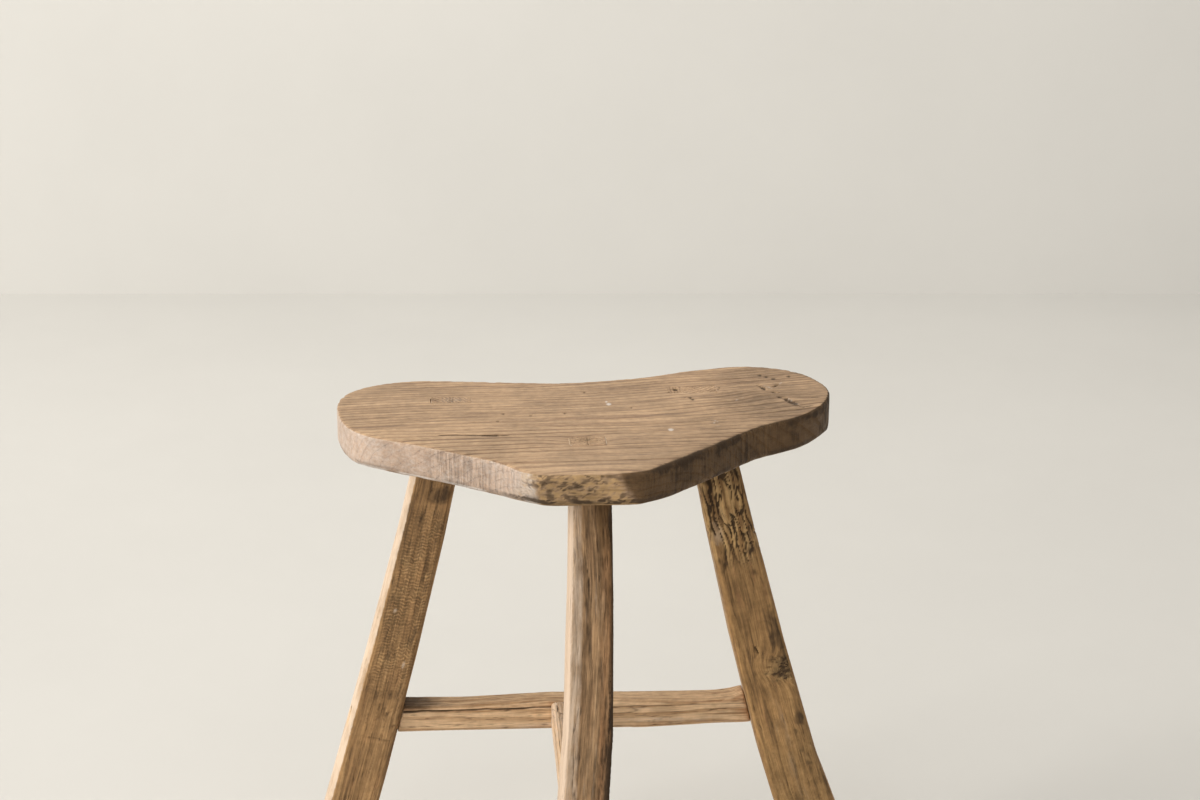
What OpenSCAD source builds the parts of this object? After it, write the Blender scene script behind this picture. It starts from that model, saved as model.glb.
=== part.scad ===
// Three-legged wooden milking stool: heart-shaped plank seat, three splayed legs with
// wedged through tenons, a rail between the two back legs and a cross stretcher from
// that rail to the front leg. Millimetres, +Z up, the floor at z = 0, the nose to -Y.

/* [Seat] */
// Height of the seat's top above the floor
seat_height = 480; // [420:1:560]
// Thickness of the seat plank
seat_thick = 30; // [26:1:40]
// Width of the seat across its two lobes
seat_width = 410; // [370:1:440]
// Depth of the seat from the nose to the back of the lobes
seat_depth = 269; // [250:1:300]
// How far below the seat's top the slanting cuts under the nose begin
nose_lip = 4; // [2:1:12]

/* [Legs] */
// How far the feet spread beyond the joints under the seat, 1 as drawn
leg_spread = 1; // [0.85:0.05:1.15]
// Stoutness of the legs, 1 as drawn
leg_girth = 1; // [1:0.05:1.2]
// Flat worn along the four edges of the left leg
left_chamfer = 4; // [2:0.5:8]
// Flat worn along the four edges of the right leg
right_chamfer = 3.5; // [2:0.5:8]
// Flat worn along the four edges of the front leg
front_chamfer = 3; // [2:0.5:8]

/* [Tenons in the seat] */
// Left leg's tenon, across the stool
left_tenon_wide = 32; // [20:0.5:32]
// Left leg's tenon, front to back
left_tenon_deep = 15; // [12:0.5:16]
// Right leg's tenon, across the stool
right_tenon_wide = 29; // [20:0.5:30]
// Right leg's tenon, front to back
right_tenon_deep = 17; // [12:0.5:20]
// Front leg's tenon, across the stool
front_tenon_wide = 28; // [18:0.5:28]
// Front leg's tenon, front to back
front_tenon_deep = 20; // [12:0.5:20]
// Thickness of the splitting wedges at the seat's top
wedge_thick = 4; // [2:0.5:8]
// Thickness of the splitting wedges at their lower edge
wedge_tip = 1.4; // [0.5:0.1:2]
// How deep the splitting wedges are driven
wedge_deep = 22; // [12:1:22]
// Width of the packing wedge beside the right tenon, at the seat's top
packing_top = 12; // [6:0.5:14]
// Width of the packing wedge at the seat's underside
packing_foot = 7; // [3:0.5:8]

/* [Stretchers] */
// Height of the stretchers' middle above the floor
rail_height = 180; // [150:1:220]
// Back rail, front to back
rail_deep = 24.5; // [18:0.5:32]
// Cross stretcher, side to side
cross_wide = 29; // [20:0.5:34]
// Cross stretcher, top to bottom
cross_tall = 27; // [20:0.5:30]
// Flat worn along the stretchers' edges
rail_chamfer = 3; // [1:0.5:6]
// Thickness of the stretchers' tenons
rail_tenon_thick = 12; // [8:0.5:16]
// Height of the stretchers' tenons
rail_tenon_tall = 18; // [12:0.5:19]
// How far the cross stretcher's stub tenon enters the back rail
stub_deep = 12; // [6:1:16]

/* [Hidden] */

far = 1400;
root2 = sqrt(2);
under = seat_height - seat_thick;

// Seat outline, starting at the right of the nose and running round the back.
drawn_width = 410;
drawn_depth = 269;
outline = [[27, -197], [45, -192.2], [62, -178], [102, -137], [142, -95], [181, -68], [207, -31],
           [213.5, 10], [194, 53], [151, 72], [105, 63], [60, 46], [-5, 35], [-68, 42],
           [-128, 49], [-171, 37], [-194.5, 4], [-192.5, -51], [-173, -91], [-129, -120],
           [-71, -162], [-51, -185.5], [-32, -194.8]];
// Slanting cuts under the nose: heading from -Y, distance from the plan's origin, cut back.
nose_cuts = [[-2, 195.4, 6], [-36, 181.7, 9], [32, 188.8, 6]];

// A leg's stations: share of the height under the seat, centre x, centre y, width, depth.
left_st = [[1, -110, -4, 37.5, 34.5], [0.8, -129.7, 7, 40, 36],
           [0.55, -157.5, 20.5, 43.5, 38], [0.3, -186.5, 34, 46, 40],
           [0, -223.5, 50.5, 48, 42]];
right_st = [[1, 112.3, 10, 36.5, 34], [0.8, 132.7, 15, 41.5, 36],
            [0.55, 160.2, 21.5, 47, 38], [0.3, 190.5, 27.5, 51.5, 41],
            [0, 236, 35, 61, 46]];
front_st = [[1, 4.8, -124.5, 33, 34], [0.8, 4, -140, 36, 35.5],
            [0.55, 0.7, -159, 38.8, 37], [0.3, -8.5, -178, 40.5, 39],
            [0, -16, -201, 42, 41]];

// Tenons' sizes in plan, centres at the seat's top, and lean per millimetre of drop.
left_tenon = [left_tenon_wide, left_tenon_deep];
right_tenon = [right_tenon_wide, right_tenon_deep];
front_tenon = [front_tenon_wide, front_tenon_deep];
left_top = [-102.5, -7.7];
left_lean = [-0.22, 0.121];
right_top = [105.4, 7];
right_lean = [0.22, 0.06];
front_top = [3.5, -119.6];
front_lean = [0.01, -0.17];

// Back rail's stations along X: x, middle above or below rail_height, height.
rail_y = 26;
rail_st = [[-185, 0.8, 26.5], [-100, -0.5, 24], [-25, 0.3, 27.5], [60, -1.8, 27],
           [120, -1.2, 24], [140, -0.5, 25.5], [185, 6.25, 39]];
cross_x = -6;
cross_z = rail_height + 0.5;

function spread(st, i, k) = st[0][k] + (st[i][k] - st[0][k]) * leg_spread;
function station_z(s) = s[0] * under;
function leg_z(st) = [for (s = st) station_z(s)];
function leg_x(st) = [for (i = [0 : len(st) - 1]) spread(st, i, 1)];
function leg_y(st) = [for (i = [0 : len(st) - 1]) spread(st, i, 2)];
function half(st, k) = [for (s = st) s[k] * leg_girth / 2];
// The value at h on a polyline that has the values v at the positions z.
function between(z, v, h) = lookup(h, [for (i = [0 : len(z) - 1]) [z[i], v[i]]]);
function face_x(st, side, h) = between(leg_z(st), leg_x(st) + side * half(st, 3), h);
function face_y(st, side, h) = between(leg_z(st), leg_y(st) + side * half(st, 4), h);
// A band that is 2 * h wide about the line c over the positions z.
function band(c, h, z) =
    concat([for (i = [0 : len(z) - 1]) [c[i] - h[i], z[i]]],
           [for (i = [len(z) - 1 : -1 : 0]) [c[i] + h[i], z[i]]]);

// Smooth curve through the outline's points, a few steps to each span.
steps = 5;
function pick(p, i) = p[max(0, min(len(p) - 1, i))];
function curve_at(p, i, t) =
    let (a = pick(p, i - 1), b = pick(p, i), c = pick(p, i + 1), d = pick(p, i + 2))
    0.5 * (2 * b + (c - a) * t + (2 * a - 5 * b + 4 * c - d) * t * t
           + (3 * b - a - 3 * c + d) * t * t * t);
function curve(p) =
    concat([for (i = [0 : len(p) - 2]) for (k = [0 : steps - 1]) curve_at(p, i, k / steps)],
           [p[len(p) - 1]]);
seat_curve = [for (p = curve(outline))
    [p[0] * seat_width / drawn_width, p[1] * seat_depth / drawn_depth]];

// The whole stool is moved so that its bounding box stands centred on the origin.
last = len(left_st) - 1;
low_x = leg_x(left_st)[last] - half(left_st, 3)[last];
high_x = leg_x(right_st)[last] + half(right_st, 3)[last];
low_y = leg_y(front_st)[last] - half(front_st, 4)[last];
high_y = max(leg_y(left_st)[last] + half(left_st, 4)[last],
             max([for (p = seat_curve) p[1]]));

module placed() {
    translate([-(low_x + high_x) / 2, -(low_y + high_y) / 2, 0]) children();
}

// A flat outline (across, up) carried through the stool, seen from the heading turn.
module seen(turn) {
    rotate([90, 0, turn])
        linear_extrude(height = far, center = true)
            children();
}

// A list of values carried on in a straight line by a share of its first and last steps.
run_on = 0.1;
function longer(v) =
    let (n = len(v) - 1)
    concat([v[0] + (v[0] - v[1]) * run_on], [for (i = [1 : n - 1]) v[i]],
           [v[n] + (v[n] - v[n - 1]) * run_on]);

// How far the creases of a bar's chamfers lie from the creases of its faces.
stagger = 8;

// A squared bar with chamfered edges that follows the lines x and y over the heights z.
// Only its first view ends it, so the other three run on past its ends.
module bar(x, y, z, hx, hy, c) {
    zl = longer(z);
    n = len(zl) - 1;
    turn = [for (i = [0 : n]) zl[i] + (i == 0 || i == n ? 0 : stagger)];
    sum = longer(x + y);
    gap = longer(y - x);
    size = longer(hx + hy - [for (i = z) c]);
    wide = [for (h = turn) between(zl, size, h) / root2];
    intersection() {
        seen(0) polygon(band(x, hx, z));
        seen(90) polygon(band(longer(y), longer(hy), zl));
        seen(45) polygon(band([for (h = turn) between(zl, sum, h) / root2], wide, turn));
        seen(135) polygon(band([for (h = turn) between(zl, gap, h) / root2], wide, turn));
    }
}

module leg_body(st, c) {
    bar(leg_x(st), leg_y(st), leg_z(st), half(st, 3), half(st, 4), c);
}

// A leaning block between two heights: centre at the seat's top, lean, size.
module leaning(top, lean, size, z0, z1) {
    z = [z1, z0];
    drop = [seat_height - z1, seat_height - z0];
    intersection() {
        seen(0) polygon(band([for (d = drop) top[0] + lean[0] * d],
                             [size[0] / 2, size[0] / 2], z));
        seen(90) polygon(band([for (d = drop) top[1] + lean[1] * d],
                              [size[1] / 2, size[1] / 2], z));
    }
}

// A splitting wedge in the middle of a tenon, thick at the top; rise carries it on up.
module splitter(top, lean, tenon, rise) {
    z = [seat_height + rise, seat_height - wedge_deep];
    grow = (wedge_thick - wedge_tip) / wedge_deep;
    h = [(wedge_thick + grow * rise) / 2, wedge_tip / 2];
    intersection() {
        seen(0) polygon(band([for (v = z) top[0] + lean[0] * (seat_height - v)], h, z));
        seen(90) polygon(band([for (v = z) top[1] + lean[1] * (seat_height - v)],
                              [tenon[1] / 2, tenon[1] / 2], z));
    }
}

// The packing wedge on the inner side of the right tenon; rise carries it past both faces.
module packing(rise) {
    side = right_top[0] - right_tenon[0] / 2;
    taper = (packing_top - packing_foot) / seat_thick;
    z = [seat_height + rise, under - rise];
    right = [for (v = z) side + right_lean[0] * (seat_height - v)];
    wide = [packing_top + taper * rise, packing_foot - taper * rise];
    intersection() {
        seen(0) polygon([[right[0], z[0]], [right[1], z[1]],
                         [right[1] - wide[1], z[1]], [right[0] - wide[0], z[0]]]);
        seen(90) polygon(band([for (v = z) right_top[1] + right_lean[1] * (seat_height - v)],
                              [right_tenon[1] / 2, right_tenon[1] / 2], z));
    }
}

// The back rail's tenons and the mortises they fill, ends flush with the legs' outer faces.
module rail_tenons() {
    lo = rail_height - rail_tenon_tall / 2;
    hi = rail_height + rail_tenon_tall / 2;
    intersection() {
        translate([0, rail_y, 0]) cube([far, rail_tenon_thick, far], center = true);
        seen(0) polygon([[face_x(left_st, -1, hi), hi], [face_x(left_st, -1, lo), lo],
                         [face_x(right_st, 1, lo), lo], [face_x(right_st, 1, hi), hi]]);
    }
}

// The cross stretcher's tenons: a stub into the back rail, through the front leg.
module cross_tenons() {
    lo = cross_z - rail_tenon_tall / 2;
    hi = cross_z + rail_tenon_tall / 2;
    stub = rail_y - rail_deep / 2 + stub_deep;
    intersection() {
        translate([cross_x, 0, 0]) cube([rail_tenon_thick, far, far], center = true);
        seen(90) polygon([[face_y(front_st, -1, hi), hi], [face_y(front_st, -1, lo), lo],
                          [stub, lo], [stub, hi]]);
    }
}

module seat() {
    color([0.66, 0.52, 0.40]) placed() difference() {
        translate([0, 0, under]) linear_extrude(height = seat_thick) polygon(seat_curve);
        for (cut = nose_cuts) nose_cut(cut[0], cut[1], cut[2]);
        leaning(left_top, left_lean, left_tenon, under - 2, seat_height + 2);
        leaning(right_top, right_lean, right_tenon, under - 2, seat_height + 2);
        leaning(front_top, front_lean, front_tenon, under - 2, seat_height + 2);
        packing(2);
    }
}

// One slanting cut under the nose, facing the heading.
module nose_cut(heading, distance, cut_back) {
    front = -distance * seat_depth / drawn_depth;
    lip = seat_height - nose_lip;
    rotate([0, 0, heading]) intersection() {
        translate([0, front, under]) cube([240, 60, 80], center = true);
        seen(90) polygon([[front - 40, lip], [front, lip], [front + cut_back, under],
                          [front + cut_back, under - 20], [front - 40, under - 20]]);
    }
}

module front_leg() {
    color([0.58, 0.46, 0.34]) placed() difference() {
        union() {
            leg_body(front_st, front_chamfer);
            leaning(front_top, front_lean, front_tenon, under - 5, seat_height);
        }
        splitter(front_top, front_lean, front_tenon, 2);
        cross_tenons();
    }
}

module left_leg() {
    color([0.58, 0.46, 0.34]) placed() difference() {
        union() {
            leg_body(left_st, left_chamfer);
            leaning(left_top, left_lean, left_tenon, under - 5, seat_height);
        }
        splitter(left_top, left_lean, left_tenon, 2);
        rail_tenons();
    }
}

module right_leg() {
    color([0.58, 0.46, 0.34]) placed() difference() {
        union() {
            leg_body(right_st, right_chamfer);
            leaning(right_top, right_lean, right_tenon, under - 5, seat_height);
        }
        rail_tenons();
    }
}

// The rail is a bar laid along X, its shoulders cut to the lean of the two legs.
module rail_body() {
    n = [for (s = rail_st) 1];
    lo = rail_height - 20;
    hi = rail_height + 22;
    intersection() {
        rotate([0, 90, 0])
            bar([for (s = rail_st) -(rail_height + s[1])], rail_y * n,
                [for (s = rail_st) s[0]], [for (s = rail_st) s[2] / 2],
                rail_deep / 2 * n, rail_chamfer);
        seen(0) polygon([[face_x(left_st, 1, hi), hi], [face_x(left_st, 1, lo), lo],
                         [face_x(right_st, -1, lo), lo], [face_x(right_st, -1, hi), hi]]);
    }
}

module back_rail() {
    color([0.70, 0.56, 0.41]) placed() difference() {
        union() {
            rail_body();
            rail_tenons();
        }
        cross_tenons();
    }
}

// The cross stretcher is a bar laid along Y, its front shoulder cut to the leg's lean.
module cross_body() {
    back = rail_y - rail_deep / 2;
    lo = cross_z - 20;
    hi = cross_z + 20;
    ends = [-far / 4, far / 4];
    intersection() {
        rotate([-90, 0, 0])
            bar([cross_x, cross_x], [-cross_z, -cross_z], ends,
                [cross_wide / 2, cross_wide / 2], [cross_tall / 2, cross_tall / 2],
                rail_chamfer);
        seen(90) polygon([[face_y(front_st, 1, hi), hi], [face_y(front_st, 1, lo), lo],
                          [back, lo], [back, hi]]);
    }
}

module cross_stretcher() {
    color([0.72, 0.58, 0.43]) placed() union() {
        cross_body();
        cross_tenons();
    }
}

module front_wedge() {
    color([0.50, 0.38, 0.28]) placed() splitter(front_top, front_lean, front_tenon, 0);
}

module left_wedge() {
    color([0.50, 0.38, 0.28]) placed() splitter(left_top, left_lean, left_tenon, 0);
}

module right_wedge() {
    color([0.50, 0.38, 0.28]) placed() packing(0);
}

seat();
front_leg();
left_leg();
right_leg();
back_rail();
cross_stretcher();
front_wedge();
left_wedge();
right_wedge();
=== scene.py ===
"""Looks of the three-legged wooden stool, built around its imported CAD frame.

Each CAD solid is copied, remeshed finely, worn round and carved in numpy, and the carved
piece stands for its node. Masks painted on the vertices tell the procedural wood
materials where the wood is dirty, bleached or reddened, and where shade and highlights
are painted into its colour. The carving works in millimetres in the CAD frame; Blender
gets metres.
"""

import bmesh
import bpy
import numpy as np
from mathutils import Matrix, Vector


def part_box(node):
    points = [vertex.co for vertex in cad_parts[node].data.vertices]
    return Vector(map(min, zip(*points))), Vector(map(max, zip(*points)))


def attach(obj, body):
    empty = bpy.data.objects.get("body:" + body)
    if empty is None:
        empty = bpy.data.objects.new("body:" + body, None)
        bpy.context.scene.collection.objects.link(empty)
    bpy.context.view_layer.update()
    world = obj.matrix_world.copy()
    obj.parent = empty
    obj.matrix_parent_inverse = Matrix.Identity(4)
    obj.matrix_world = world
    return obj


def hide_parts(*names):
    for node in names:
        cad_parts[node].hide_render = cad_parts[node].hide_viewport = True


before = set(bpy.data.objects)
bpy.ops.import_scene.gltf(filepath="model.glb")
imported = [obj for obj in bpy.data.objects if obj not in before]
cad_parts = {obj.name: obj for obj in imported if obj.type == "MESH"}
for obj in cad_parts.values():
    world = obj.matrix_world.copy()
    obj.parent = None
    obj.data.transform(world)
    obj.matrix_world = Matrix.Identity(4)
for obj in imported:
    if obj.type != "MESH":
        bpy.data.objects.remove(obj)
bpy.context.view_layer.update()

MM = 0.001
SEAT_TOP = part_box("seat")[1].z / MM
SEAT_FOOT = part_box("seat")[0].z / MM


# ---- noise and masks


def lattice_noise(q, seed):
    """Gradient noise, about -1 to 1, at the points q of a unit lattice."""
    rng = np.random.default_rng(seed)
    order = np.tile(rng.permutation(256), 2)
    slope = rng.normal(size=(256, 3))
    slope /= np.linalg.norm(slope, axis=1)[:, None]
    cell = np.floor(q).astype(int)
    part = q - cell
    ease = part ** 3 * (part * (part * 6 - 15) + 10)
    total = np.zeros(len(q))
    for corner in np.ndindex(2, 2, 2):
        at = (cell + corner) & 255
        g = slope[order[order[order[at[:, 0]] + at[:, 1]] + at[:, 2]]]
        share = np.where(corner, ease, 1 - ease).prod(axis=1)
        total += share * (g * (part - corner)).sum(axis=1)
    return total * 1.7


def noise(p, size, seed, octaves=1, rough=0.5):
    """Layered noise over p; size is the length of a feature along each axis, in mm."""
    q = p / np.broadcast_to(np.asarray(size, float), 3) + seed * 7.31
    total, weight, weights = 0, 1.0, 0
    for layer in range(octaves):
        total = total + weight * lattice_noise(q, seed + 101 * layer)
        weights += weight
        weight *= rough
        q = q * 2.03
    return total / weights


def ramp(value, low, high):
    """0 below low, 1 above high, smooth between; low may be the larger."""
    t = np.clip((value - low) / (high - low), 0, 1)
    return t * t * (3 - 2 * t)


def patches(p, size, seed, low, high, octaves=2, rough=0.5):
    """1 where noise is above high, 0 where it is below low; low may be the larger."""
    return ramp(noise(p, size, seed, octaves, rough), low, high)


def hairlines(p, size, seed, low, high, octaves=2, rough=0.5):
    """1 along the thin lines where noise crosses nought, 0 where it is beyond low."""
    return ramp(np.abs(noise(p, size, seed, octaves, rough)), low, high)


def near(value, centre, half, soft):
    """1 within half of the centre, falling to 0 over the next soft mm."""
    return ramp(np.abs(value - centre), half + soft, half)


def blob(u, v, at, radii):
    """1 at the point at, 0 beyond an ellipse with these radii."""
    return ramp(np.hypot((u - at[0]) / radii[0], (v - at[1]) / radii[1]), 1, 0)


def stroke(u, v, start, end, width):
    """1 along a line from start to end, 0 beyond half its width, tapering at its ends."""
    du, dv = end[0] - start[0], end[1] - start[1]
    t = ((u - start[0]) * du + (v - start[1]) * dv) / (du * du + dv * dv)
    t = np.clip(t, 0, 1)
    away = np.hypot(u - start[0] - t * du, v - start[1] - t * dv)
    taper = 0.35 + 0.65 * np.sqrt(np.clip(4 * t * (1 - t), 0, 1))
    return ramp(away, width / 2 * taper, 0)


# ---- dense members


MASKS = ("dark", "stain", "pale", "warm", "gold", "band", "saw", "nick", "arris")


def linked(name, data):
    """A new object in the scene."""
    thing = bpy.data.objects.new(name, data)
    bpy.context.scene.collection.objects.link(thing)
    return thing


def read(items, key, width, kind):
    """One property of all the items of a mesh, as rows."""
    flat = np.zeros(len(items) * width, kind)
    items.foreach_get(key, flat)
    return flat.reshape(-1, width)


class Member:
    """A CAD node's solid as a dense mesh that can be worn and carved.

    p holds the points in mm. masks holds the fields that the materials read."""

    def __init__(self, node, name, voxel):
        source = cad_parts[node]
        solid = bmesh.new()
        solid.from_mesh(source.data)
        bmesh.ops.remove_doubles(solid, verts=solid.verts, dist=1e-6)
        self.creases = [
            [np.array(v.co) / MM for v in e.verts]
            for e in solid.edges
            if len(e.link_faces) == 2 and e.calc_face_angle(0) > 0.4
        ]
        mesh = bpy.data.meshes.new(name + "_solid")
        solid.to_mesh(mesh)
        solid.free()
        rough = linked(name + "_solid", mesh)
        remesh = rough.modifiers.new("voxels", "REMESH")
        remesh.mode = "VOXEL"
        remesh.voxel_size = voxel * MM
        evaluated = rough.evaluated_get(bpy.context.evaluated_depsgraph_get())
        dense = bpy.data.meshes.new_from_object(evaluated)
        dense.name = name
        bpy.data.objects.remove(rough)
        bpy.data.meshes.remove(mesh)
        self.node, self.name, self.mesh, self.voxel = node, name, dense, voxel
        self.p = read(dense.vertices, "co", 3, np.float32).astype(float) / MM
        self.quads = read(dense.loops, "vertex_index", 1, np.int32).reshape(-1, 4)
        self.edges = read(dense.edges, "vertices", 2, np.int32)
        self.degree = np.bincount(self.edges.ravel(), minlength=len(self.p))
        self.firm = np.zeros(len(self.p))
        self.masks = {}

    def around(self, values):
        """The mean of each vertex's neighbours."""
        a, b = self.edges.T
        n = len(self.p)
        flat = values.reshape(n, -1)
        total = [
            np.bincount(a, flat[b, k], n) + np.bincount(b, flat[a, k], n)
            for k in range(flat.shape[1])
        ]
        return (np.array(total).T / self.degree[:, None]).reshape(values.shape)

    def hold(self, inside, reach=2.5):
        """Puts the crisp CAD creases inside() back on the mesh and keeps them crisp."""
        for a, b in self.creases:
            if not (inside(a) and inside(b)):
                continue
            close = np.abs(self.p - (a + b) / 2).max(axis=1) < np.abs(b - a).max() / 2 + 4 * reach
            rows = np.flatnonzero(close)
            q = self.p[rows]
            t = np.clip((q - a) @ (b - a) / ((b - a) @ (b - a)), 0, 1)
            foot = a + t[:, None] * (b - a)
            away = np.linalg.norm(q - foot, axis=1)
            self.firm[rows] = np.maximum(self.firm[rows], ramp(away, 3 * reach, reach))
            snap = away < 0.62 * self.voxel
            self.p[rows[snap]] = foot[snap]

    def wear_round(self, passes, where=1.0):
        """Rounds every arris that isn't held; more passes, a larger radius."""
        step = (0.5 * where * (1 - self.firm))[:, None]
        for _ in range(passes):
            self.p += step * (self.around(self.p) - self.p)

    def normals(self):
        corner = self.p[self.quads]
        n = np.cross(corner[:, 2] - corner[:, 0], corner[:, 3] - corner[:, 1])
        total = np.array(
            [np.bincount(self.quads.ravel(), np.repeat(n[:, k], 4), len(self.p)) for k in range(3)]
        ).T
        return total / np.maximum(np.linalg.norm(total, axis=1), 1e-12)[:, None]

    def carve(self, depth, normals):
        """Moves the surface inwards by depth mm."""
        self.p -= normals * depth[:, None]

    def arrises(self, spread):
        """Positive along outer arrises, negative in hollows, about -1 to 1."""
        bend = ((self.p - self.around(self.p)) * self.normals()).sum(axis=1) / self.voxel
        for _ in range(spread):
            bend = 0.5 * bend + 0.5 * self.around(bend)
        return np.clip(bend * (4 + spread), -1, 1)

    def paint(self, name, value):
        """Adds to a mask; the masks run from 0 to 1."""
        self.masks[name] = np.clip(self.masks.get(name, 0) + value, 0, 1)

    def cloud(self, name, value, *pattern):
        """Paints a mask through patches of noise in the piece's own coordinates q."""
        self.paint(name, value * patches(self.q, *pattern))

    def sharpen_held(self):
        """Shades the held creases as sharp edges."""
        self.mesh.update()
        self.mesh.set_sharp_from_angle(angle=0.7)
        mark = self.mesh.attributes.get("sharp_edge")
        if mark is None:
            return
        sharp = np.zeros(len(self.edges), bool)
        mark.data.foreach_get("value", sharp)
        mark.data.foreach_set("value", sharp & (self.firm[self.edges].min(axis=1) > 0.9))

    def finish(self, grain, slot, materials, pick=None):
        """Writes the mesh back as a piece that stands for its node."""
        mesh = self.mesh
        self.p[:, 2] = np.minimum(self.p[:, 2], SEAT_TOP)
        mesh.vertices.foreach_set("co", (self.p * MM).astype(np.float32).ravel())
        mesh.polygons.foreach_set("use_smooth", np.ones(len(mesh.polygons), bool))
        self.sharpen_held()
        field = mesh.attributes.new("grain", "FLOAT_VECTOR", "POINT")
        field.data.foreach_set("vector", (grain * MM).astype(np.float32).ravel())
        for name in MASKS:
            value = np.broadcast_to(self.masks.get(name, 0.0), len(self.p))
            field = mesh.attributes.new(name, "FLOAT", "POINT")
            field.data.foreach_set("value", np.ascontiguousarray(value, np.float32))
        for material in materials:
            mesh.materials.append(material)
        if pick is not None:
            of_face = pick[self.quads].mean(axis=1) > 0.5
            mesh.polygons.foreach_set("material_index", of_face.astype(np.int32))
        mesh.update()
        piece = linked(self.name, mesh)
        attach(piece, "root")
        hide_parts(self.node)


def centre_line(p, low, high, step=12.0):
    """Cubic curves through the middles of an upright bar's sections: x and y against z."""
    marks, mids = [], []
    for start in np.arange(low, high, step):
        section = p[(p[:, 2] >= start) & (p[:, 2] < start + step)]
        marks.append(start + step / 2)
        mids.append((section.min(axis=0) + section.max(axis=0)) / 2)
    mids = np.array(mids)
    return np.polyfit(marks, mids[:, 0], 3), np.polyfit(marks, mids[:, 1], 3)


def rings_about(across, up, along):
    """Grain coordinates: the distance across the rings, around them and along the fibres."""
    return np.stack([np.hypot(across, up), np.arctan2(up, across) * 45, along], axis=1)


# ---- wood materials


class Tree:
    """A small helper to write a material's nodes as expressions."""

    def __init__(self, name):
        self.material = bpy.data.materials.new(name)
        self.material.use_nodes = True
        self.nodes = self.material.node_tree.nodes
        self.links = self.material.node_tree.links
        self.shader = self.nodes["Principled BSDF"]

    def put(self, socket, value):
        if isinstance(value, bpy.types.NodeSocket):
            self.links.new(value, socket)
        elif value is not None:
            socket.default_value = value

    def math(self, operation, a, b=None, c=None):
        node = self.nodes.new("ShaderNodeMath")
        node.operation = operation
        for socket, value in zip(node.inputs, (a, b, c)):
            self.put(socket, value)
        return node.outputs[0]

    def times(self, a, b):
        return self.math("MULTIPLY", a, b)

    def plus(self, a, b):
        return self.math("ADD", a, b)

    def linear(self, a, b, c):
        """a times b, plus c."""
        return self.math("MULTIPLY_ADD", a, b, c)

    def mix(self, factor, a, b, mode="MIX"):
        node = self.nodes.new("ShaderNodeMix")
        node.data_type = "RGBA"
        node.blend_type = mode
        self.put(node.inputs["Factor"], factor)
        for key, value in (("A", a), ("B", b)):
            socket = [s for s in node.inputs if s.name == key and s.type == "RGBA"][0]
            self.put(socket, value if not isinstance(value, tuple) else (*value, 1.0))
        return [s for s in node.outputs if s.type == "RGBA"][0]

    def span(self, value, low, high, out_low=0.0, out_high=1.0):
        node = self.nodes.new("ShaderNodeMapRange")
        node.interpolation_type = "SMOOTHSTEP"
        for key, v in (("Value", value), ("From Min", low), ("From Max", high),
                       ("To Min", out_low), ("To Max", out_high)):
            self.put(node.inputs[key], v)
        return node.outputs[0]

    def mask(self, name, output="Fac"):
        node = self.nodes.new("ShaderNodeAttribute")
        node.attribute_name = name
        return node.outputs[output]

    def place(self):
        return self.nodes.new("ShaderNodeTexCoord").outputs["Object"]

    def stretch(self, vector, factors):
        node = self.nodes.new("ShaderNodeVectorMath")
        node.operation = "MULTIPLY"
        self.put(node.inputs[0], vector)
        node.inputs[1].default_value = factors
        return node.outputs[0]

    def along(self, vector, factor):
        """The vector with its third part, the one along the fibres, drawn together."""
        return self.stretch(vector, (1.0, 1.0, factor))

    def noise(self, vector, size, detail=2.0, rough=0.5, distortion=0.0):
        """Noise from 0 to 1 whose features are about size mm across."""
        node = self.nodes.new("ShaderNodeTexNoise")
        self.put(node.inputs["Vector"], vector)
        node.inputs["Scale"].default_value = 1 / (size * MM)
        node.inputs["Detail"].default_value = detail
        node.inputs["Roughness"].default_value = rough
        node.inputs["Distortion"].default_value = distortion
        return node.outputs["Fac"]

    def part(self, vector, axis):
        node = self.nodes.new("ShaderNodeSeparateXYZ")
        self.put(node.inputs[0], vector)
        return node.outputs[axis]

    def bump(self, height, depth):
        """Bump of about depth mm for a height from 0 to 1."""
        node = self.nodes.new("ShaderNodeBump")
        node.inputs["Strength"].default_value = 1.0
        node.inputs["Distance"].default_value = depth * MM
        self.put(node.inputs["Height"], height)
        return node.outputs["Normal"]


# Colours that every wood shares, and the sizes in mm of the marks that tools left.
RUBBED_AND_LIT = (0.55, 0.41, 0.28)
DIRT_AND_SHADE = (0.050, 0.030, 0.016)
STAIN = (0.118, 0.065, 0.026)
BLUSH = (0.40, 0.20, 0.09)
NICK_TONE = (0.10, 0.085, 0.075)
NICK_GAP = 3.7
TOOTH_ROW = 3.9
TOOTH_GAP = 3.1
FULL_TURN = 2 * np.pi


def rasp_marks(t, grain):
    """Short slanting teeth in staggered rows, broken up and uneven."""
    along, around = t.part(grain, "Z"), t.part(grain, "Y")
    warp = t.noise(t.along(grain, 0.5), 9.0, 2.0, 0.6)
    row = t.math("SINE", t.times(around, FULL_TURN / (TOOTH_ROW * MM)))
    pace = FULL_TURN / (TOOTH_GAP * MM)
    turn = t.linear(around, 0.30 * pace, t.times(row, 1.1))
    turn = t.linear(along, pace, turn)
    turn = t.linear(warp, 14.0, turn)
    tooth = t.linear(t.math("SINE", turn), 0.5, 0.5)
    dash = t.span(t.noise(t.along(grain, 0.6), 2.2, 2.0, 0.6), 0.36, 0.58)
    return t.times(tooth, t.linear(dash, 0.8, 0.2))


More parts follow.
